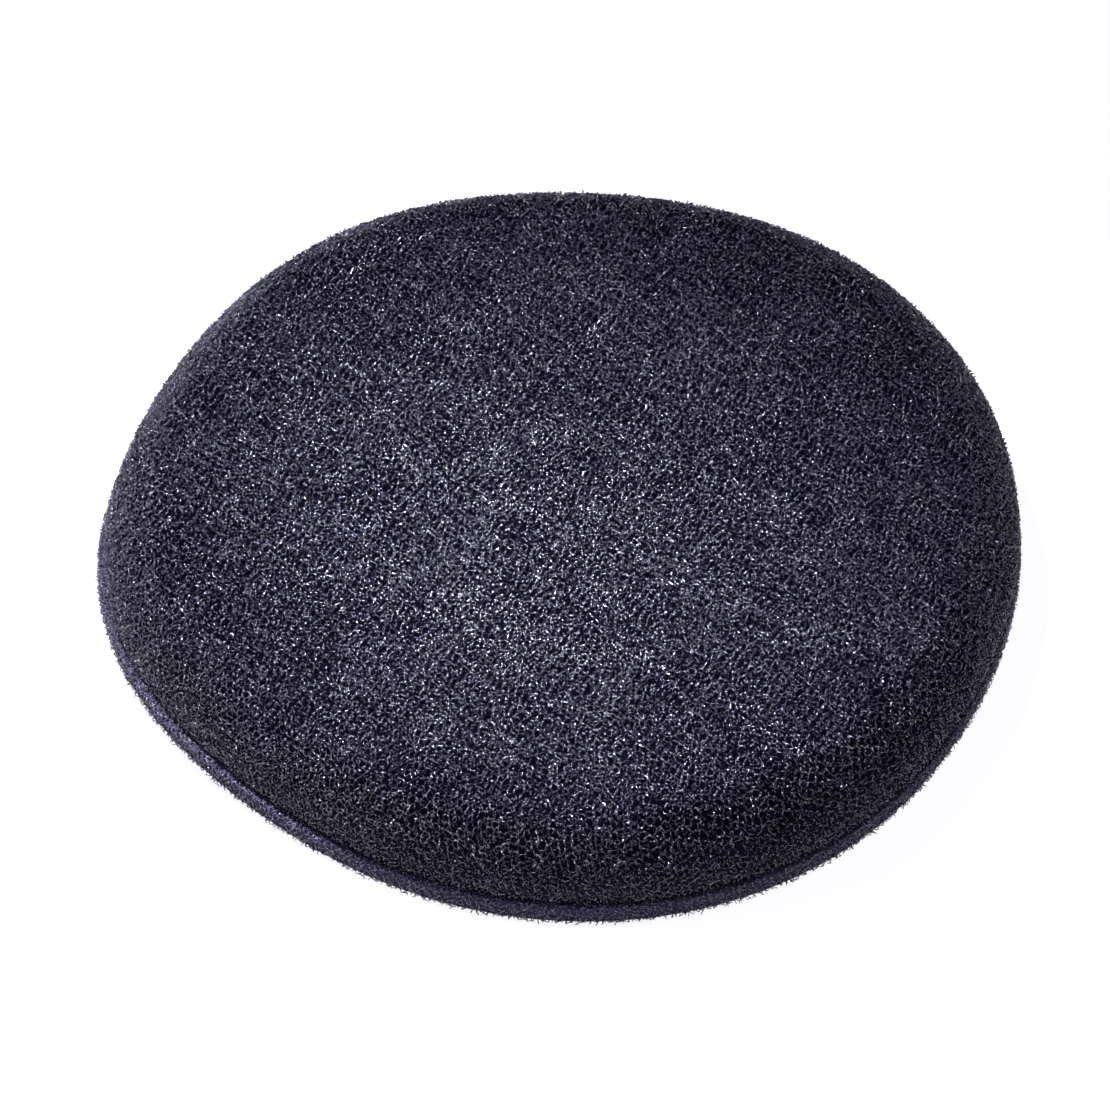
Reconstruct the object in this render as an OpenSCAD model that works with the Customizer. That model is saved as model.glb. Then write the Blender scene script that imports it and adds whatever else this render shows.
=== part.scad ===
// Round polishing pad of open-cell foam with a hook-and-loop back.
// A sheet of foam is rolled over a soft core and joined to a second sheet along an open seam
// that runs round the rim. The second sheet carries the loop backing.
// Frame: +Z up, face up. The origin is the centre of the loop backing's resting face.

/* [Pad] */
// Diameter across the rim
pad_d = 80; // [50:1:150]
// Height from the resting face to the middle of the crowned face
pad_h = 11.3; // [10:0.1:18]
// Thickness of the foam sheet that the cover and the back are both cut from
sheet_t = 2; // [1.5:0.1:2.5]
// Height by which the middle of the face stands above the start of its rolled shoulder
crown_h = 0.6; // [0.3:0.1:1.5]

/* [Seam] */
// Thickness of each adhesive layer, and height of the open slit at the rim
glue_t = 0.3; // [0.2:0.05:0.5]
// Depth of the open slit, from the rim in to the glue
slit_depth = 1.2; // [0.6:0.1:1.6]

/* [Back] */
// Thickness of the loop backing, pile included
loop_t = 1; // [0.6:0.1:1.5]
// Distance from the rim to the edge of the loop backing
loop_inset = 2; // [1:0.5:4]
// Distance from the edge of the loop backing to the edge of its adhesive
back_film_inset = 0.4; // [0.2:0.1:1]

/* [Fit] */
// Gap between the core and the cover that is rolled round it
core_gap = 0.3; // [0.2:0.1:0.5]

/* [Hidden] */

foam_grey = [0.17, 0.16, 0.21];
core_grey = [0.24, 0.24, 0.26];
film_white = [0.86, 0.84, 0.78];
loop_black = [0.08, 0.08, 0.09];
curve_fn = 96;

pad_r = pad_d / 2;
back_z = loop_t + glue_t;
seam_z = back_z + sheet_t;
hem_z = seam_z + glue_t;

// The shoulder is a quarter round that ends in a short upright hem.
hem_h = 0.4;
shoulder_z = hem_z + hem_h;
shoulder_r = pad_h - shoulder_z;
face_r = pad_r - shoulder_r;

// The face falls by crown_h from its middle to the start of the shoulder, as a shallow bowl does.
crown_steps = 12;
function crown_z(r) = pad_h - crown_h * pow(r / face_r, 2);

cavity_r = shoulder_r - sheet_t;
core_r = cavity_r - core_gap;
cover_film_z = shoulder_z + core_r;
loop_r = pad_r - loop_inset;

// Half section of a disc with a quarter-round shoulder, standing on hem_z, in x and y
module rolled_section(round_r) {
    translate([0, hem_z])
        square([face_r + round_r, hem_h]);
    translate([0, shoulder_z])
        square([face_r, round_r]);
    intersection() {
        translate([face_r, shoulder_z])
            circle(r = round_r, $fn = curve_fn);
        translate([0, shoulder_z])
            square([pad_r, round_r]);
    }
}

// Half section of everything that lies under the crown of the face
module crown_section() {
    crown_points = [
        for (step = [0:crown_steps])
            let (r = pad_r * step / crown_steps)
                [r, crown_z(r)]
    ];
    polygon(concat([[pad_r, 0], [0, 0]], crown_points));
}

module disc(r, z, t) {
    translate([0, 0, z])
        cylinder(r = r, h = t, $fn = 2 * curve_fn);
}

// Working face and rolled shoulder, one sheet
module cover_foam() {
    color(foam_grey)
        rotate_extrude($fn = 2 * curve_fn)
            difference() {
                intersection() {
                    rolled_section(shoulder_r);
                    crown_section();
                }
                rolled_section(cavity_r);
            }
}

// Soft disc that the cover is rolled over
module core_foam() {
    color(core_grey)
        rotate_extrude($fn = 2 * curve_fn)
            rolled_section(core_r);
}

// Second sheet, whose cut edge shows below the seam
module back_foam() {
    color(foam_grey)
        disc(pad_r, back_z, sheet_t);
}

// Adhesive between the core and the cover; it moves with the face
module cover_film() {
    color(film_white)
        disc(face_r, cover_film_z, core_gap);
}

// Adhesive between the core and the second sheet
module core_film() {
    color(film_white)
        disc(face_r + core_r, seam_z, glue_t);
}

// Adhesive between the second sheet and the loop backing
module back_film() {
    color(film_white)
        disc(loop_r - back_film_inset, loop_t, glue_t);
}

// Ring of glue at the bottom of the slit, which holds the cover's hem to the second sheet
module seam_glue() {
    color(film_white)
        difference() {
            disc(pad_r - slit_depth, seam_z, glue_t);
            disc(face_r + cavity_r, seam_z - glue_t, 3 * glue_t);
        }
}

// Loop side of the hook-and-loop fastening
module loop_backing() {
    color(loop_black)
        disc(loop_r, 0, loop_t);
}

cover_foam();
core_foam();
back_foam();
cover_film();
core_film();
back_film();
seam_glue();
loop_backing();
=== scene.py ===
import itertools
import math

import bpy
import numpy as np
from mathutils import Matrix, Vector


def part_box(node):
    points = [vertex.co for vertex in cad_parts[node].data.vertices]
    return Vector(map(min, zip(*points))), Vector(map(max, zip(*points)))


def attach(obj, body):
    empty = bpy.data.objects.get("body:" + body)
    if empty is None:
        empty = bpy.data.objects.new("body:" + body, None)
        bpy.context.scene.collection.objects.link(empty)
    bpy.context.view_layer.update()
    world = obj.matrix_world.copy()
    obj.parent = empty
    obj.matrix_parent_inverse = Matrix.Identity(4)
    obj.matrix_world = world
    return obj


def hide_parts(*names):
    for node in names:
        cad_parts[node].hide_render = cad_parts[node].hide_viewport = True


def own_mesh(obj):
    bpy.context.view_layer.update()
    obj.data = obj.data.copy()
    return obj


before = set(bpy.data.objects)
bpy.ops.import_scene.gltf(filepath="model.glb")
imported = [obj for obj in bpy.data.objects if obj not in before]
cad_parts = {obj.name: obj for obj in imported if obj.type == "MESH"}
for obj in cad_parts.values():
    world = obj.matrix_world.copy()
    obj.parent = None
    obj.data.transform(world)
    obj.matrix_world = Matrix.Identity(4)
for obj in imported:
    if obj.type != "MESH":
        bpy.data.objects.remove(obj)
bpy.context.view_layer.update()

# A round polishing pad of open-cell foam, face up on a white table.
# Lengths are in metres. Z points up, out of the working face.
MM = 0.001

# ---------------------------------------------------------------- sizes of the CAD model
cover_low, cover_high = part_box("cover_foam")
back_low, back_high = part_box("back_foam")
film_low, film_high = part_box("cover_film")
glue_low, glue_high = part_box("seam_glue")
core_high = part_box("core_foam")[1]
loop_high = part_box("loop_backing")[1]

RIM_R = cover_high[0]
FACE_R = film_high[0]
SHOULDER_R = RIM_R - FACE_R
HEM_Z = cover_low[2]
FACE_Z = cover_high[2]
CROWN_H = 0.6 * MM
SLIT_LOW = back_high[2]
BACK_Z = back_low[2]
CAVITY_Z = film_high[2]
CAVITY_ROUND = CAVITY_Z - (FACE_Z - SHOULDER_R)
CORE_ROUND = core_high[0] - FACE_R
GLUE_ROUND = (glue_high[2] - glue_low[2]) / 2
LOOP_R = loop_high[0]
LOOP_Z = loop_high[2]

# ---------------------------------------------------------------- sizes of the foam
# Open cells of the cover: their size, and how deep under the skin they are made
CELL = 0.75 * MM
STRUT_R = 0.069 * MM
CELL_DEPTH = 0.54 * MM
COVER_SEED = 3.0
COVER_SECTORS = 8

# The lip is the rim of the back foam. It is pressed, so its cells are finer and lie in a thinner layer.
LIP_CELL = 0.62 * MM
LIP_STRUT_R = 0.05 * MM
LIP_DEPTH = 0.40 * MM
LIP_ROUND = 0.20 * MM
LIP_WIDTH = 1.2 * MM
LIP_SEED = 5.0
LIP_SECTORS = 2

# What keeps the cells from standing in rows. Jitter and wander are shares of a cell's size,
# the wander's scale is in waves for each cell, and unevenness is a share of a strut's thickness.
LATTICE_TURN = (0.62, 0.35, 0.21)
JOINT_JITTER = 0.21
WANDER = 1.1
WANDER_SCALE = 0.16
STRUT_UNEVENNESS = 0.25
STRUT_SEED = 7

# A soft pad isn't quite round: waves of its rim, as (waves round the rim, amplitude, phase)
RIM_WAVES = [
    (2, 0.27 * MM, math.radians(204)),
    (3, 0.60 * MM, math.radians(133)),
    (4, 0.38 * MM, math.radians(82)),
    (5, 0.26 * MM, math.radians(240)),
    (6, 0.15 * MM, math.radians(24)),
]
# The lip stands out past the cover, most where it was glued off centre, at LIP_SIDE.
# Inside STEADY_R neither the lip nor the seam moves anything.
LIP_OVERHANG = 0.42 * MM
LIP_SHIFT = 0.22 * MM
LIP_SIDE = math.radians(180)
STEADY_R = 34 * MM

# The glue in the seam draws the rim in, and squeezes the cells above and below it
SEAM_Z = (SLIT_LOW + HEM_Z) / 2
SEAM_PINCH = 0.18 * MM
PINCH_REACH = 0.45 * MM
SEAM_LAP = 0.05 * MM
SQUEEZE = 0.6 * MM
SQUEEZE_REACH = 1.1 * MM

# The mass is the foam under the open cells, whose inner ends are sunk in it.
# It comes close to the skin where the seam presses it.
MASS_DEPTH = CELL_DEPTH * 0.8
PRESSED_DEPTH = 0.26 * MM
PRESSED_H = 0.7 * MM
LIP_MASS_DEPTH = 0.18 * MM
LIP_TOP_DEPTH = 0.22 * MM
LIP_STEP = 0.9 * MM
CORE_CLEAR = 0.12 * MM

# ---------------------------------------------------------------- sizes of the loop backing
CLOTH_T = 0.45 * MM
CLOTH_EDGE = 0.1 * MM
CLOTH_LOW = LOOP_Z - CLOTH_T

# The loops hang from the cloth nearly to the table
LOOP_SPACING = 1.3 * MM
LOOP_W = 0.62 * MM
LOOP_H = CLOTH_LOW * 0.9
LOOP_FIBRE_R = 0.075 * MM
LOOP_UNEVENNESS = 0.4
LOOP_LEAN = 0.5
LOOP_SEED = 11

# ---------------------------------------------------------------- colours and patterns
STRUT_DARK = (0.0018, 0.0012, 0.0043, 1)
STRUT_LIGHT = (0.0072, 0.0051, 0.0158, 1)
STRUT_PRESSED = (0.060, 0.051, 0.080, 1)
STRUT_IOR = 1.9
STRUT_ROUGHNESS = (0.12, 0.36)
PATCH_SCALE = 90.0
GRAIN_SCALE = 1500.0

# The mass's dark and wall colours are painted shade: near black, they stand for deeper cells that lie
# in shade
MASS_SHADE_DARK = (0.0012, 0.0009, 0.0026, 1)
MASS_SHADE_WALL = (0.0024, 0.0018, 0.0048, 1)
# Painted fill light: the mass is painted lighter towards this colour down the pad's sides
MASS_SIDE_LIGHT = (0.034, 0.029, 0.044, 1)
MASS_PRESSED = (0.046, 0.041, 0.058, 1)
WALL_SHARPNESS = 5.0
SIDE_LIGHT_POWER = 3.0

# The crease is the slit between the cover and the lip, painted dark as painted shade. LIP_TONE_H
# is how far down the lip the seam's tone fades.
CREASE_SHADE = (0.0008, 0.0006, 0.0013, 1)
CREASE_SHADE_H = 0.42 * MM
CREASE_SHADE_SPREAD = 0.10 * MM
CREASE_SHADE_FADE = 0.06 * MM
CREASE_SHADE_SHARPNESS = 3.0
LIP_TONE_H = 3.0 * MM

ADHESIVE_DARK = (0.045, 0.038, 0.032, 1)
ADHESIVE_LIGHT = (0.11, 0.095, 0.078, 1)
ADHESIVE_ROUGHNESS = (0.25, 0.55)
WEB_SCALE = 700.0

CLOTH_DARK = (0.006, 0.006, 0.008, 1)
CLOTH_LIGHT = (0.03, 0.03, 0.035, 1)
WALE_SCALE = 620.0
COURSE_SCALE = 520.0
KNIT_DISTORTION = 2.5
FIBRE_DARK = (0.008, 0.008, 0.01, 1)
FIBRE_LIGHT = (0.045, 0.045, 0.052, 1)
FIBRE_ROUGHNESS = (0.35, 0.55)
TUFT_SCALE = 500.0

FLOOR_GREY = (0.3, 0.3, 0.3, 1)
FLOOR_GLOW = 0.90
WHITE = (1, 1, 1, 1)


# ---------------------------------------------------------------- node trees
class Wire:
    """An output socket. Arithmetic on it adds Math nodes to its tree."""

    def __init__(self, tree, node, output):
        self.tree, self.node, self.socket = tree, node, node.outputs[output]

    def out(self, output):
        return Wire(self.tree, self.node, output)

    def __add__(self, other):
        return self.tree.math("ADD", self, other)

    def __sub__(self, other):
        return self.tree.math("SUBTRACT", self, other)

    def __rsub__(self, other):
        return self.tree.math("SUBTRACT", other, self)

    def __mul__(self, other):
        return self.tree.math("MULTIPLY", self, other)

    def __truediv__(self, other):
        return self.tree.math("DIVIDE", self, other)

    def __rtruediv__(self, other):
        return self.tree.math("DIVIDE", other, self)

    def __pow__(self, other):
        return self.tree.math("POWER", self, other)

    def __gt__(self, other):
        return self.tree.math("GREATER_THAN", self, other)

    def __lt__(self, other):
        return self.tree.math("LESS_THAN", self, other)

    __radd__ = __add__
    __rmul__ = __mul__

    def math_of(self, operation):
        return self.tree.math(operation, self)

    def highest(self, other):
        return self.tree.math("MAXIMUM", self, other)

    def lowest(self, other):
        return self.tree.math("MINIMUM", self, other)

    def held(self):
        """The value, held between 0 and 1."""
        return self.highest(0.0).lowest(1.0)


class Tree:
    """A node tree that is filled by calls to add()."""

    def __init__(self, nodes):
        self.tree = nodes

    def add(self, kind, settings=None, sockets=None, output=0):
        node = self.tree.nodes.new(kind)
        for name, value in (settings or {}).items():
            setattr(node, name, value)
        for key, value in (sockets or {}).items():
            for single in value if isinstance(value, list) else [value]:
                if isinstance(single, Wire):
                    self.tree.links.new(single.socket, node.inputs[key])
                else:
                    node.inputs[key].default_value = single
        return Wire(self, node, output) if node.outputs else node

    def math(self, operation, first, second=0.0):
        return self.add("ShaderNodeMath", {"operation": operation}, {0: first, 1: second})

    def vector_math(self, operation, first, second):
        return self.add("ShaderNodeVectorMath", {"operation": operation}, {0: first, 1: second})

    def vector(self, **axes):
        return self.add("ShaderNodeCombineXYZ", None, axes)

    def cube(self, size):
        """A vector with the same size along each axis."""
        return self.vector(X=size, Y=size, Z=size)

    def split(self, vector):
        x = self.add("ShaderNodeSeparateXYZ", None, {0: vector})
        return x, x.out("Y"), x.out("Z")

    def push(self, noise, amount):
        """A vector up to about amount long from a noise whose parts lie between 0 and 1."""
        centred = self.vector_math("SUBTRACT", noise, (0.5, 0.5, 0.5))
        return self.add("ShaderNodeVectorMath", {"operation": "SCALE"}, {
            0: centred, "Scale": amount * 2.0})

    def random(self, low, high, seed):
        return self.add("FunctionNodeRandomValue", {"data_type": "FLOAT"}, {
            2: low, 3: high, "Seed": seed}, 1)

    def per_curve(self, value):
        return self.add("GeometryNodeFieldOnDomain", {"domain": "CURVE"}, {0: value})

    def place(self):
        return self.add("GeometryNodeInputPosition")

    def shift(self, geometry, offset):
        return self.add("GeometryNodeSetPosition", None, {"Geometry": geometry, "Offset": offset})

    def keep(self, geometry, domain, kept):
        return self.add("GeometryNodeDeleteGeometry", {"domain": domain}, {
            "Geometry": geometry, "Selection": 1.0 - kept})

    def tube(self, curve, radius, **more):
        """A three-sided closed tube along each curve."""
        section = self.add("GeometryNodeCurvePrimitiveCircle", None, {
            "Resolution": 3, "Radius": radius})
        return self.add("GeometryNodeCurveToMesh", None, {
            "Curve": curve, "Profile Curve": section, "Fill Caps": True, **more})

    def realized(self, geometry):
        return self.add("GeometryNodeRealizeInstances", None, {0: geometry})

    def finish(self, geometry):
        """Sends geometry out of the tree, and returns the tree's node group."""
        self.add("NodeGroupOutput", None, {0: geometry})
        return self.tree

    def finish_in(self, geometry, material):
        """The same, as one plain mesh in a material."""
        return self.finish(self.add("GeometryNodeSetMaterial", None, {
            "Geometry": self.realized(geometry), "Material": material}))


def geometry_tree(name, inputs):
    """A Geometry Nodes tree with one geometry in and out and the named inputs, and its input wires."""
    group = bpy.data.node_groups.new(name, "GeometryNodeTree")
    interface = group.interface
    interface.new_socket("Geometry", in_out="INPUT", socket_type="NodeSocketGeometry")
    for label, kind in inputs.items():
        interface.new_socket(label, in_out="INPUT", socket_type="NodeSocket" + kind)
    interface.new_socket("Geometry", in_out="OUTPUT", socket_type="NodeSocketGeometry")
    tree = Tree(group)
    entry = tree.add("NodeGroupInput")
    return tree, {label: entry.out(label) for label in ["Geometry", *inputs]}


def grow(name, mesh, group, values):
    """An object whose plain mesh is what the tree makes of mesh."""
    obj = bpy.data.objects.new(name, mesh)
    bpy.context.scene.collection.objects.link(obj)
    modifier = obj.modifiers.new(group.name, "NODES")
    modifier.node_group = group
    sockets = [item for item in group.interface.items_tree if item.in_out == "INPUT"]
    identifiers = {item.name: item.identifier for item in sockets}
    for label, value in values.items():
        modifier[identifiers[label]] = value
    grown = obj.evaluated_get(bpy.context.evaluated_depsgraph_get())
    obj.data = bpy.data.meshes.new_from_object(grown)
    obj.data.name = name
    obj.modifiers.clear()
    return obj


# ---------------------------------------------------------------- how the pad lies
def settle(points, overhang=0.0):
    """Points of the foam, moved from the round CAD shape to how the soft pad lies."""
    points = np.array(points, float)
    radius = np.hypot(points[:, 0], points[:, 1])
    angle = np.arctan2(points[:, 1], points[:, 0])
    if overhang:
        overhang = overhang + LIP_SHIFT * np.cos(angle - LIP_SIDE)
    grown = overhang * np.clip((radius - STEADY_R) / (RIM_R - STEADY_R), 0, 1)

    # The waves fade quickly towards the middle of the pad
    share = (radius / RIM_R) ** 4
    for waves, amplitude, phase in RIM_WAVES:
        grown = grown + amplitude * share * np.cos(waves * angle - phase)
    near_seam = np.clip(1 - np.abs(points[:, 2] - SEAM_Z) / PINCH_REACH, 0, 1)
    grown = grown - SEAM_PINCH * near_seam ** 2 * (radius > STEADY_R)

    # Near the axis the radius is held up, so that nothing is divided by zero
    factor = 1 + grown / np.maximum(radius, STEADY_R / 4)
    points[:, :2] *= factor[:, None]
    return points


# ---------------------------------------------------------------- open cells
def kelvin_cell():
    """The edges that each cell adds to a packing of Kelvin cells of size 1, as a mesh."""
    corners = sorted({
        tuple(p) for a in (0.25, -0.25) for b in (0.5, -0.5)
        for p in itertools.permutations((0.0, a, b))
    })
    edge_length = math.sqrt(2) / 4
    tolerance = 0.01
    edges, seen = [], set()
    for i, j in itertools.combinations(range(len(corners)), 2):
        if abs(math.dist(corners[i], corners[j]) - edge_length) > tolerance:
            continue
        # Edges of neighbouring cells that coincide have middles that differ by a lattice step
        middle = [(p + q) / 2 for p, q in zip(corners[i], corners[j])]
        shifts = [tuple(round((m + s) % 1, 4) % 1 for m in middle) for s in (0, 0.5)]
        if min(shifts) not in seen:
            seen.add(min(shifts))
            edges.append((i, j))
    mesh = bpy.data.meshes.new("cell")
    mesh.from_pydata(corners, edges, [])
    return mesh


def skin_distance(tree, shape, place):
    """How far a place lies outside the foam's top and sides, and under its low face, and its radius."""
    x, y, z = tree.split(place)
    radius = (x * x + y * y) ** 0.5
    flat = shape["Rim radius"] - shape["Corner radius"]
    over = radius - flat
    above = z - (shape["High"] - shape["Corner radius"])
    beyond = (over.highest(0.0) ** 2.0 + above.highest(0.0) ** 2.0) ** 0.5
    rounded = beyond + over.highest(above).lowest(0.0) - shape["Corner radius"]
    crowned = z - shape["High"] + shape["Crown"] * (radius / flat) ** 2.0
    return rounded.highest(crowned), shape["Low"] - z, radius


def cell_centres(tree, cell, block_r):
    """Cell centres on two interlocked cubic lattices, in a block that holds the turned pad."""
    spare_cells = 3.0
    half = (block_r / cell + spare_cells).math_of("CEIL")
    width, count = half * cell * 2.0, half * 2.0 + 1.0
    sheet = tree.add("GeometryNodeMeshGrid", None, {
        "Size X": width, "Size Y": width, "Vertices X": count, "Vertices Y": count})
    column = tree.add("GeometryNodeMeshLine", {"mode": "OFFSET"}, {
        "Count": count, "Start Location": tree.vector(Z=half * cell * -1.0),
        "Offset": tree.vector(Z=cell)})
    cubic = tree.realized(tree.add("GeometryNodeInstanceOnPoints", None, {
        "Points": column, "Instance": sheet}))
    shifted = tree.add("GeometryNodeTransform", None, {
        "Geometry": cubic, "Translation": tree.cube(cell * 0.5)})
    return tree.add("GeometryNodeJoinGeometry", None, {0: [cubic, shifted]})


def foam_cells_tree():
    """Edges of the open-cell network that lie within Depth under the skin."""
    tree, shape = geometry_tree("Foam cells", {
        "Cell size": "Float", "Rim radius": "Float", "Corner radius": "Float", "Low": "Float",
        "High": "Float", "Crown": "Float", "Depth": "Float", "Underside depth": "Float",
        "Inner radius": "Float", "Jitter": "Float", "Wander": "Float", "Turn": "Vector",
        "Seam": "Float", "Squeeze": "Float", "Squeeze reach": "Float", "Seed": "Float",
    })
    cell = shape["Cell size"]
    centres = cell_centres(tree, cell, shape["Rim radius"])

    # Only a centre that comes near the skin once the lattice is turned gets a cell
    place = tree.place()
    turned_place = tree.add("ShaderNodeVectorRotate", {"rotation_type": "EULER_XYZ"}, {
        "Vector": place, "Rotation": shape["Turn"]})
    top, under, radius = skin_distance(tree, shape, turned_place)
    reach = cell + shape["Wander"] + shape["Squeeze"]
    has_underside = shape["Underside depth"] > 0.0
    near_top = top > (shape["Depth"] + reach) * -1.0
    near_under = (under > (shape["Underside depth"] + reach) * -1.0) * has_underside
    near = near_top.highest(near_under) * (top < reach) * (under < reach)
    near = near * (radius > shape["Inner radius"] - reach)
    edges = tree.realized(tree.add("GeometryNodeInstanceOnPoints", None, {
        "Points": tree.keep(centres, "POINT", near), "Instance": shape["Geometry"],
        "Scale": tree.cube(cell)}))

    # Corners lie on a grid of quarter cells. Those that coincide snap to one place and get one push.
    joint = tree.vector_math("SNAP", tree.vector_math("ADD", place, tree.cube(cell / 8.0)),
                             tree.cube(cell / 4.0))
    random = tree.add("ShaderNodeTexWhiteNoise", {"noise_dimensions": "4D"}, {
        "Vector": joint, "W": shape["Seed"]}, "Color")
    drift = tree.add("ShaderNodeTexNoise", {"noise_dimensions": "4D"}, {
        "Vector": place, "W": shape["Seed"], "Scale": WANDER_SCALE / cell, "Detail": 1.0}, "Color")
    edges = tree.shift(edges, tree.push(random, shape["Jitter"]))
    edges = tree.shift(edges, tree.push(drift, shape["Wander"]))
    edges = tree.add("GeometryNodeTransform", None, {"Geometry": edges, "Rotation": shape["Turn"]})

    # The seam draws the cells towards its own height
    height = tree.split(place)[2] - shape["Seam"]
    share = 1.0 - (height.math_of("ABSOLUTE") / shape["Squeeze reach"] * -1.0).math_of("EXPONENT")
    drop = height.math_of("SIGN") * share * shape["Squeeze"] * -1.0
    edges = tree.shift(edges, tree.vector(Z=drop))

    # The skin and the depth cut the network at the middles of its edges
    top, under, radius = skin_distance(tree, shape, place)
    shallow = (top > shape["Depth"] * -1.0).highest(
        (under > shape["Underside depth"] * -1.0) * has_underside)
    kept = shallow * (top < 0.0) * (under < 0.0) * (radius > shape["Inner radius"])
    edges = tree.keep(edges, "EDGE", kept)

    # Corners that coincide become one
    together = cell / 50.0
    return tree.finish(tree.add("GeometryNodeMergeByDistance", None, {
        "Geometry": edges, "Distance": together}))


def struts_tree():
    """Three-sided closed struts along the edges of one sector of a network."""
    tree, given = geometry_tree("Foam struts", {
        "Strut radius": "Float", "Unevenness": "Float", "From angle": "Float",
        "To angle": "Float", "Seed": "Int", "Material": "Material",
    })
    x, y, _ = tree.split(tree.place())
    angle = tree.math("ARCTAN2", y, x)
    inside = (angle > given["From angle"]) * (1.0 - (angle > given["To angle"]))
    lines = tree.add("GeometryNodeMeshToCurve", None, {
        "Mesh": tree.keep(given["Geometry"], "EDGE", inside)})
    turn = tree.per_curve(tree.random(0.0, math.tau, given["Seed"]))
    lines = tree.add("GeometryNodeSetCurveTilt", None, {"Curve": lines, "Tilt": turn})
    thickness = tree.per_curve(tree.random(-1.0, 1.0, given["Seed"] + 1.0))
    struts = tree.tube(lines, given["Strut radius"], Scale=thickness * given["Unevenness"] + 1.0)
    for part in ["EDGE", "FACE"]:
        struts = tree.add("GeometryNodeSetShadeSmooth", {"domain": part}, {"Geometry": struts})
    return tree.finish_in(struts, given["Material"])


def foam_cells(name, shape, strut_r, sectors, overhang=0.0):
    """The struts of a foam piece's outer cells, one piece for each sector."""
    cell = shape["Cell size"]
    network = grow(name + "_network", kelvin_cell(), cells_tree, {
        "Jitter": JOINT_JITTER * cell, "Wander": WANDER * cell, "Turn": LATTICE_TURN,
        "Seam": SEAM_Z, "Squeeze": SQUEEZE, "Squeeze reach": SQUEEZE_REACH, **shape})
    mesh = network.data
    places = np.empty(len(mesh.vertices) * 3)
    mesh.vertices.foreach_get("co", places)
    mesh.vertices.foreach_set("co", settle(places.reshape(-1, 3), overhang).ravel())

    # The first sector starts a hair early, so that it takes an edge that lies on the line
    hair = 0.01
    bounds = np.linspace(-math.pi - hair, math.pi, sectors + 1)
    pieces = [
        grow(f"{name}_{i + 1}", mesh, sector_tree, {
            "Strut radius": strut_r, "Unevenness": STRUT_UNEVENNESS,
            "From angle": float(bounds[i]), "To angle": float(bounds[i + 1]),
            "Seed": STRUT_SEED + i, "Material": struts})
        for i in range(sectors)
    ]
    bpy.data.objects.remove(network)
    return pieces


# ---------------------------------------------------------------- loops of the backing
def loop_pile_tree():
    """Fine loops that hang in uneven rows from the underside of a round cloth."""
    tree, given = geometry_tree("Loop pile", {
        "Cloth radius": "Float", "Cloth height": "Float", "Loop spacing": "Float",
        "Loop height": "Float", "Loop width": "Float", "Fibre radius": "Float",
        "Unevenness": "Float", "Lean": "Float", "Seed": "Int", "Material": "Material",
    })
    spacing, width, seed = given["Loop spacing"], given["Loop width"], given["Seed"]
    rows = (given["Cloth radius"] / spacing).math_of("CEIL") * 2.0
    grid = tree.add("GeometryNodeMeshGrid", None, {
        "Size X": rows * spacing, "Size Y": rows * spacing,
        "Vertices X": rows + 1.0, "Vertices Y": rows + 1.0})
    x, y, _ = tree.split(tree.place())
    on_cloth = 1.0 - ((x * x + y * y) ** 0.5 > given["Cloth radius"] - spacing)
    slip = spacing * given["Unevenness"]
    places = tree.shift(tree.keep(grid, "POINT", on_cloth), tree.vector(
        X=tree.random(slip * -1.0, slip, seed + 4.0),
        Y=tree.random(slip * -1.0, slip, seed + 5.0), Z=given["Cloth height"]))

    # One loop: it bulges past its feet, and its handles reach a third deeper than it hangs
    bulge, sag, shortest = 1.1, 1.33, 0.75
    low = given["Loop height"] * -sag
    bow = tree.add("GeometryNodeCurvePrimitiveBezierSegment", None, {
        "Resolution": 5,
        "Start": tree.vector(X=width * -0.5), "Start Handle": tree.vector(X=width * -bulge, Z=low),
        "End": tree.vector(X=width * 0.5), "End Handle": tree.vector(X=width * bulge, Z=low)})
    loop = tree.tube(bow, given["Fibre radius"])
    lean = tree.random(given["Lean"] * -1.0, given["Lean"], seed + 1.0)
    turn = tree.random(0.0, math.tau, seed + 2.0)
    pile = tree.add("GeometryNodeInstanceOnPoints", None, {
        "Points": places, "Instance": loop, "Rotation": tree.vector(X=lean, Z=turn),
        "Scale": tree.vector(X=1.0, Y=1.0, Z=tree.random(shortest, 1.0, seed + 3.0))})
    return tree.finish_in(pile, given["Material"])


# ---------------------------------------------------------------- turned bodies
# Each step of the turn, paired with the one after it
TURN_STEPS = 240
ROUND = [(i, (i + 1) % TURN_STEPS) for i in range(TURN_STEPS)]


def solid(name, points, faces, finish):
    mesh = bpy.data.meshes.new(name)
    mesh.from_pydata(points.tolist(), [], faces)
    mesh.polygons.foreach_set("use_smooth", [True] * len(faces))
    mesh.materials.append(finish)
    obj = bpy.data.objects.new(name, mesh)
    bpy.context.scene.collection.objects.link(obj)
    return obj


def rings(section):
    """The (radius, height) points of a section, each turned about Z into a ring of points."""
    angles = np.linspace(0, math.tau, TURN_STEPS, endpoint=False)
    return [(r * math.cos(a), r * math.sin(a), z) for r, z in section for a in angles]


def band(here, below):
    """The faces between two rings, given the number of each ring's first point."""
    return [(here + i, below + i, below + j, here + j) for i, j in ROUND]


def turned_ring(name, section, finish):
    """A closed ring: a closed section of (radius, height) points, turned about Z."""
    faces = []
    for ring in range(len(section)):
        faces += band(ring * TURN_STEPS, (ring + 1) % len(section) * TURN_STEPS)
    return solid(name, settle(rings(section)), faces, finish)


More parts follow.
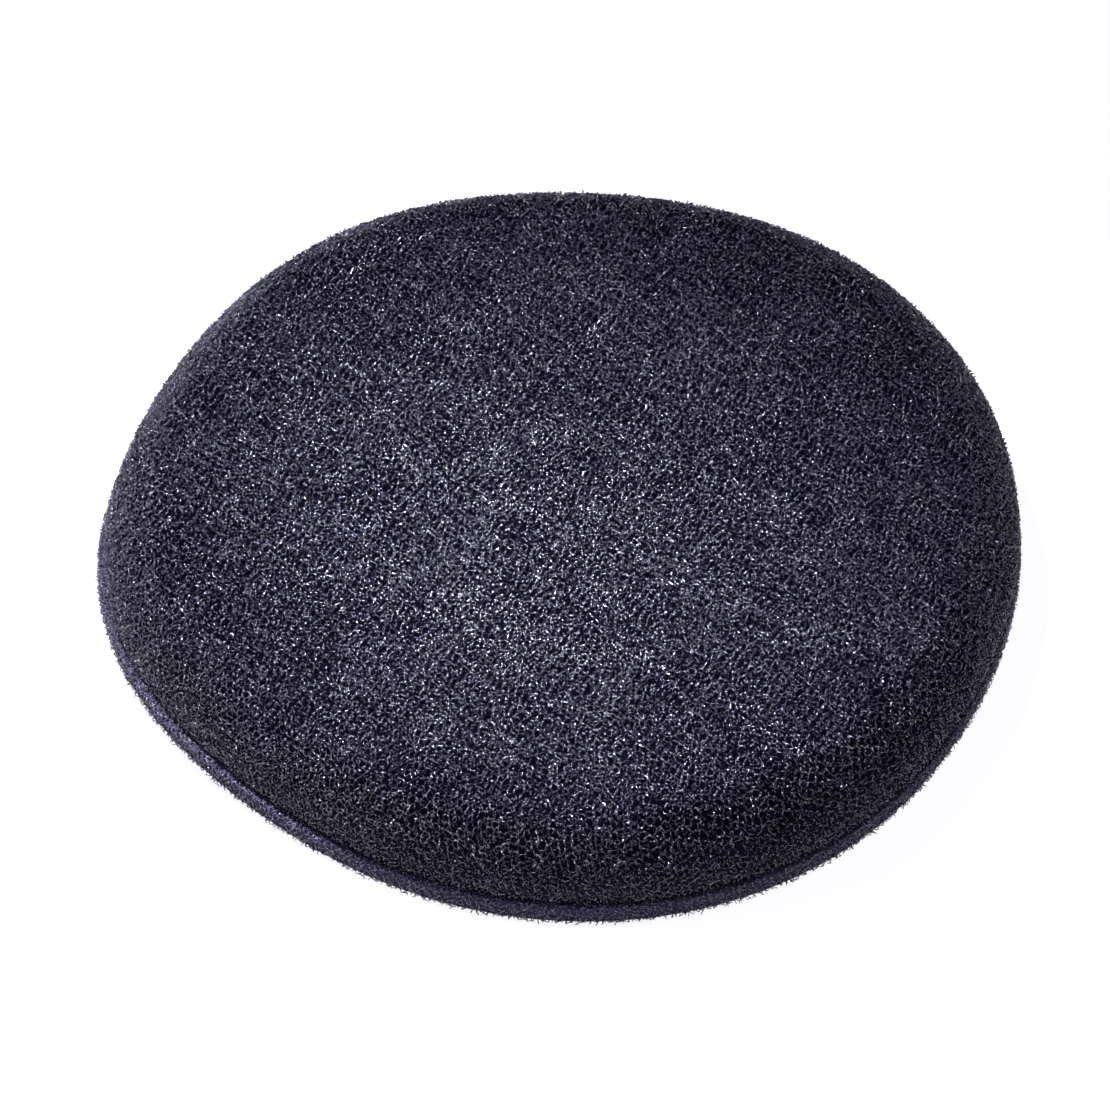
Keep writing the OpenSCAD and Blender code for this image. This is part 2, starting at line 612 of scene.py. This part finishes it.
def turned(name, section, finish, overhang=0.0, soft=True):
    """A closed body: a section of (radius, height) points from axis to axis, turned about Z."""
    top, *sides, bottom = section
    points = [(0, 0, top[1]), *rings(sides), (0, 0, bottom[1])]
    last_ring = 1 + (len(sides) - 1) * TURN_STEPS
    faces = [(0, 1 + i, 1 + j) for i, j in ROUND]
    for here in range(1, last_ring, TURN_STEPS):
        faces += band(here, here + TURN_STEPS)
    faces += [(last_ring + j, last_ring + i, len(points) - 1) for i, j in ROUND]
    points = settle(points, overhang) if soft else np.array(points)
    return solid(name, points, faces, finish)


def arc(centre, radius, start, end, steps=16):
    """Points (radius, height) of a circle's arc, from start to end in degrees."""
    angles = np.radians(np.linspace(start, end, steps))
    return [(centre[0] + radius * math.cos(a), centre[1] + radius * math.sin(a)) for a in angles]


def flat(height, start, end, steps=6):
    """Points at one height from the radius start up to but not including end."""
    return [(start + (end - start) * i / steps, height) for i in range(steps)]


# ---------------------------------------------------------------- materials
def start_material(name):
    """A new material, and its empty tree."""
    made = bpy.data.materials.new(name)
    made.use_nodes = True
    made.node_tree.nodes.clear()
    return made, Tree(made.node_tree)


def surface(tree, sockets):
    """Ends a material in one shader with these sockets."""
    shader = tree.add("ShaderNodeBsdfPrincipled", None, sockets)
    tree.add("ShaderNodeOutputMaterial", None, {"Surface": shader})


def object_place(tree):
    return tree.add("ShaderNodeTexCoord", None, None, "Object")


def noise(tree, place, scale, detail):
    return tree.add("ShaderNodeTexNoise", None, {"Vector": place, "Scale": scale, "Detail": detail})


def bumps(tree, strength, distance, height):
    return tree.add("ShaderNodeBump", None, {
        "Strength": strength, "Distance": distance, "Height": height})


def mixed(tree, factor, first, second):
    """A colour between two. The node's sockets share their names, so they go by number."""
    return tree.add("ShaderNodeMix", {"data_type": "RGBA"}, {0: factor, 6: first, 7: second}, 2)


def ranged(share, limits):
    """A value between two limits."""
    low, high = limits
    return share * (high - low) + low


def seam_tones(tree, place, open_colour, pressed_colour):
    """The colour of open foam, paler where the seam presses it, with painted shade in the seam's
    crease.
    """
    x, y, height = tree.split(place)
    above, below = (height - SEAM_Z) / PRESSED_H, (SEAM_Z - height) / LIP_TONE_H
    pressed = (1.0 - above.highest(below)).highest(0.0)

    # The painted crease shade reaches a little past the cover's rim, which the waves move in and out
    angle = tree.math("ARCTAN2", y, x)
    inside = RIM_R - (x * x + y * y) ** 0.5
    for waves, amplitude, phase in RIM_WAVES:
        inside = inside + (angle * float(waves) - phase).math_of("COSINE") * amplitude
    under = ((inside + CREASE_SHADE_SPREAD) / CREASE_SHADE_FADE).held()
    from_seam = (height - SEAM_Z).math_of("ABSOLUTE")
    crease_shade = ((1.0 - from_seam / CREASE_SHADE_H) * CREASE_SHADE_SHARPNESS).held()
    toned = mixed(tree, pressed, open_colour, pressed_colour)
    # Painted shade: the foam turns near black in the crease
    return mixed(tree, crease_shade * under, toned, CREASE_SHADE)


def foam_strut_material():
    made, tree = start_material("foam_struts")
    place = object_place(tree)
    patches = noise(tree, place, PATCH_SCALE, 2.0)
    grain = noise(tree, place, GRAIN_SCALE, 1.0)

    # The mean of the two noises, with 0.3 to 0.8 spread over the two colours
    tone = (patches * 0.5 + grain * 0.5 - 0.3) * 2.0
    colour = mixed(tree, tone, STRUT_DARK, STRUT_LIGHT)
    surface(tree, {
        "Base Color": seam_tones(tree, place, colour, STRUT_PRESSED),
        "Roughness": ranged(grain, STRUT_ROUGHNESS), "IOR": STRUT_IOR})
    return made


def foam_mass_material():
    """Foam too deep or too tightly pressed to see its single struts. Its near-black colour is painted
    shade of the deeper cells, painted lighter down the sides as painted fill light.
    """
    made, tree = start_material("foam_mass")
    place = object_place(tree)
    cells = tree.add("ShaderNodeTexVoronoi", {"feature": "DISTANCE_TO_EDGE"}, {
        "Vector": place, "Scale": 1.0 / LIP_CELL})
    walls = (1.0 - cells * WALL_SHARPNESS).highest(0.0)
    # Painted fill light: the mass grows lighter the further below the face it lies
    painted_side_light = ((FACE_Z - tree.split(place)[2]) / SHOULDER_R).held() ** SIDE_LIGHT_POWER
    # Painted shade of the deeper cells: near black, with slightly lighter cell walls
    deep = mixed(tree, walls, MASS_SHADE_DARK, MASS_SHADE_WALL)
    colour = mixed(tree, painted_side_light, deep, MASS_SIDE_LIGHT)
    surface(tree, {
        "Base Color": seam_tones(tree, place, colour, MASS_PRESSED),
        "Roughness": 1.0, "Specular IOR Level": 0.0,
        "Normal": bumps(tree, 1.0, LIP_CELL / 4, walls)})
    return made


def adhesive_material():
    made, tree = start_material("adhesive")
    web = noise(tree, object_place(tree), WEB_SCALE, 3.0)
    surface(tree, {
        "Base Color": mixed(tree, web, ADHESIVE_DARK, ADHESIVE_LIGHT),
        "Roughness": ranged(web, ADHESIVE_ROUGHNESS), "Normal": bumps(tree, 0.4, 0.1 * MM, web)})
    return made


def loop_cloth_material():
    made, tree = start_material("loop_cloth")
    place = object_place(tree)
    wales, courses = [
        tree.add("ShaderNodeTexWave", {"bands_direction": axis}, {
            "Vector": place, "Scale": scale, "Distortion": KNIT_DISTORTION, "Detail": 1.0}, "Fac")
        for axis, scale in [("X", WALE_SCALE), ("Y", COURSE_SCALE)]
    ]
    knit = wales * courses
    surface(tree, {
        "Base Color": mixed(tree, knit, CLOTH_DARK, CLOTH_LIGHT),
        "Roughness": 0.7, "Normal": bumps(tree, 0.7, 0.15 * MM, knit)})
    return made


def loop_fibre_material():
    made, tree = start_material("loop_fibres")
    tuft = noise(tree, object_place(tree), TUFT_SCALE, 2.0)
    surface(tree, {
        "Base Color": mixed(tree, tuft, FIBRE_DARK, FIBRE_LIGHT),
        "Roughness": ranged(tuft, FIBRE_ROUGHNESS)})
    return made


def floor_material():
    """A white table, lit a little from within so that shadows on it stay pale."""
    made, tree = start_material("floor")
    surface(tree, {
        "Base Color": FLOOR_GREY, "Roughness": 0.7, "Specular IOR Level": 0.2,
        "Emission Color": WHITE, "Emission Strength": FLOOR_GLOW})
    return made


struts = foam_strut_material()
mass = foam_mass_material()
adhesive = adhesive_material()
loop_cloth = loop_cloth_material()
loop_fibres = loop_fibre_material()

# ---------------------------------------------------------------- cover and back: open cells
cells_tree = foam_cells_tree()
sector_tree = struts_tree()
cover_cells = foam_cells("cover_cells", {
    "Cell size": CELL, "Rim radius": RIM_R, "Corner radius": SHOULDER_R, "Low": HEM_Z - SEAM_LAP,
    "High": FACE_Z, "Crown": CROWN_H, "Depth": CELL_DEPTH, "Underside depth": 0.0,
    "Inner radius": 0.0, "Seed": COVER_SEED}, STRUT_R, COVER_SECTORS)
lip_cells = foam_cells("back_cells", {
    "Cell size": LIP_CELL, "Rim radius": RIM_R, "Corner radius": LIP_ROUND, "Low": BACK_Z,
    "High": SLIT_LOW + SEAM_LAP, "Crown": 0.0, "Depth": LIP_DEPTH, "Underside depth": LIP_DEPTH,
    "Inner radius": RIM_R - LIP_WIDTH, "Seed": LIP_SEED}, LIP_STRUT_R, LIP_SECTORS, LIP_OVERHANG)


# ---------------------------------------------------------------- cover, back and core: the mass
def pressed_depth(height, deep):
    """How deep the mass lies under the skin at a height away from the seam."""
    share = min(max(height / PRESSED_H, 0), 1)
    return PRESSED_DEPTH + (deep - PRESSED_DEPTH) * share * share * (3 - 2 * share)


def crown_z(radius):
    return FACE_Z - CROWN_H * (radius / FACE_R) ** 2


def cover_edge(face_steps=12, shoulder_steps=48):
    """The mass's edge from the middle of the face to the hem."""
    low = FACE_Z - SHOULDER_R
    points = [(r, crown_z(r) - MASS_DEPTH) for r, _ in flat(FACE_Z, 0, FACE_R, face_steps)]
    for r, z in arc((FACE_R, low), SHOULDER_R, 90, 0, shoulder_steps):
        depth = pressed_depth(z - HEM_Z, MASS_DEPTH)
        share = 1 - depth / SHOULDER_R
        r, z = FACE_R + (r - FACE_R) * share, low + (z - low) * share
        points.append((r, min(z, crown_z(r) - depth)))
    return [*points, (RIM_R - PRESSED_DEPTH, HEM_Z)]


# A flat is cut into rings between MIDDLE_R and a little inside its edge
MIDDLE_R = 4 * MM
FLAT_INSET = 2 * MM

cover_mass = turned("cover_mass", [
    *cover_edge(), (FACE_R + CAVITY_ROUND, HEM_Z),
    *arc((FACE_R, CAVITY_Z - CAVITY_ROUND), CAVITY_ROUND, 0, 90),
    *flat(CAVITY_Z, FACE_R, 0, steps=8)[1:], (0, CAVITY_Z)], mass)

lip_top = SLIT_LOW - LIP_TOP_DEPTH
lip_edge = [
    (RIM_R - pressed_depth(SLIT_LOW - z, LIP_MASS_DEPTH), z)
    for z in np.linspace(lip_top, BACK_Z + LIP_ROUND, num=9)
]
back_mass = turned("back_mass", [
    (0, SLIT_LOW), *flat(SLIT_LOW, MIDDLE_R, RIM_R - FLAT_INSET, steps=8),
    (RIM_R - LIP_WIDTH, SLIT_LOW), (RIM_R - LIP_STEP, lip_top), *lip_edge,
    (RIM_R - LIP_MASS_DEPTH - LIP_ROUND / 3, BACK_Z + LIP_MASS_DEPTH / 2),
    (RIM_R - LIP_WIDTH, BACK_Z), (0, BACK_Z)], mass, LIP_OVERHANG)

# The core ends a little short of the film above it, and stays clear of it when pressed
core_top = core_high[2] - CORE_CLEAR
core = turned("core_pad", [
    (0, core_top), *flat(core_top, MIDDLE_R, FACE_R),
    *arc((FACE_R, core_top - CORE_ROUND), CORE_ROUND, 90, 0),
    (core_high[0], HEM_Z), *flat(HEM_Z, core_high[0] - FLAT_INSET, 0), (0, HEM_Z)], mass)

# ---------------------------------------------------------------- glue of the seam
seam_bead = turned_ring("seam_bead", [
    (FACE_R + CAVITY_ROUND, glue_high[2]),
    *arc((glue_high[0] - GLUE_ROUND, SEAM_Z), GLUE_ROUND, 90, -90, steps=7),
    (FACE_R + CAVITY_ROUND, glue_low[2])], adhesive)

# ---------------------------------------------------------------- loop backing
edge_in, edge_down = CLOTH_EDGE * 0.3, CLOTH_EDGE * 0.5
loop_base = turned("loop_base", [
    (0, LOOP_Z), *flat(LOOP_Z, MIDDLE_R, LOOP_R - CLOTH_EDGE),
    (LOOP_R - edge_in, LOOP_Z - edge_down), (LOOP_R, LOOP_Z - CLOTH_T / 2),
    (LOOP_R - edge_in, CLOTH_LOW + edge_down), (LOOP_R - CLOTH_EDGE, CLOTH_LOW),
    *flat(CLOTH_LOW, LOOP_R - FLAT_INSET, MIDDLE_R), (0, CLOTH_LOW)], loop_cloth, soft=False)
loop_pile = grow("loop_pile", bpy.data.meshes.new("loop_pile"), loop_pile_tree(), {
    "Cloth radius": LOOP_R, "Cloth height": CLOTH_LOW, "Loop spacing": LOOP_SPACING,
    "Loop height": LOOP_H, "Loop width": LOOP_W, "Fibre radius": LOOP_FIBRE_R,
    "Unevenness": LOOP_UNEVENNESS, "Lean": LOOP_LEAN, "Seed": LOOP_SEED, "Material": loop_fibres})

# ---------------------------------------------------------------- riding and standing in
for piece in [*cover_cells, cover_mass]:
    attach(piece, "backing")
    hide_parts("cover_foam")
    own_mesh(piece)

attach(core, "backing")
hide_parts("core_foam")
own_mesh(core)

for piece in [*lip_cells, back_mass]:
    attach(piece, "backing")
    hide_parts("back_foam")

for piece in [loop_base, loop_pile]:
    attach(piece, "backing")
    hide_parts("loop_backing")

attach(seam_bead, "backing")
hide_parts("seam_glue")

for node in ["cover_film", "core_film", "back_film"]:
    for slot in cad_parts[node].material_slots:
        slot.material = adhesive

# ---------------------------------------------------------------- floor
FLOOR_HALF = 2.0
floor_mesh = bpy.data.meshes.new("floor")
floor_mesh.from_pydata(
    [(x * FLOOR_HALF, y * FLOOR_HALF, 0) for x, y in [(-1, -1), (1, -1), (1, 1), (-1, 1)]],
    [], [(0, 1, 2, 3)])
floor_mesh.materials.append(floor_material())
floor = bpy.data.objects.new("floor", floor_mesh)
bpy.context.scene.collection.objects.link(floor)


# ---------------------------------------------------------------- light
def snooted_lamp(name, place, target, radius, cone, power, colour):
    """A round soft lamp whose light fades away from the middle of its cone."""
    data = bpy.data.lights.new(name, "SPOT")
    data.shadow_soft_size, data.energy, data.color = radius, power, colour
    data.spot_size, data.spot_blend = math.radians(cone), 1.0
    light = bpy.data.objects.new(name, data)
    light.location = place
    light.rotation_euler = (Vector(target) - Vector(place)).to_track_quat("-Z", "Y").to_euler()
    bpy.context.scene.collection.objects.link(light)


KEY_COLOUR = (0.83, 0.85, 1.0)
FILL_COLOUR = (0.66, 0.58, 1.0)
WORLD_FILL = (0.100, 0.080, 0.182, 1)
PAD_MIDDLE = (0.0, 0.0, 0.005)
KEY_SPOT = (-0.004, -0.0115, 0.006)
snooted_lamp("key", place=(-0.28, 0.30, 0.64), target=KEY_SPOT, radius=0.03, cone=6.4,
             power=260.0, colour=KEY_COLOUR)
snooted_lamp("front", place=(0.12, -0.40, 0.66), target=PAD_MIDDLE, radius=0.05, cone=30.0,
             power=9.0, colour=FILL_COLOUR)
snooted_lamp("side", place=(-0.60, -0.10, 0.25), target=PAD_MIDDLE, radius=0.15, cone=60.0,
             power=10.0, colour=FILL_COLOUR)

# A white studio that the camera sees in full, and that lights the pad softly
world = bpy.data.worlds.new("studio")
bpy.context.scene.world = world
world.use_nodes = True
world.node_tree.nodes.clear()
studio = Tree(world.node_tree)
seen = studio.add("ShaderNodeLightPath", None, None, "Is Camera Ray")
studio.add("ShaderNodeOutputWorld", None, {"Surface": studio.add("ShaderNodeBackground", None, {
    "Color": mixed(studio, seen, WORLD_FILL, WHITE)})})
bpy.context.scene.view_settings.view_transform = "Standard"

# ---------------------------------------------------------------- camera
CAMERA_ELEVATION = math.radians(48)
CAMERA_DISTANCE = 0.7
FRAME_WIDTH = 96.9 * MM
SENSOR = 36.0
AIM = Vector((-1.16, -1.49, 3.66)) * MM
camera_data = bpy.data.cameras.new("camera")
camera_data.sensor_width = SENSOR
camera_data.lens = SENSOR * CAMERA_DISTANCE / FRAME_WIDTH
camera_data.clip_start = 0.01
camera = bpy.data.objects.new("camera", camera_data)
towards = Vector((0, -math.cos(CAMERA_ELEVATION), math.sin(CAMERA_ELEVATION)))
camera.location = AIM + towards * CAMERA_DISTANCE
camera.rotation_euler = (-towards).to_track_quat("-Z", "Y").to_euler()
bpy.context.scene.collection.objects.link(camera)
bpy.context.scene.camera = camera
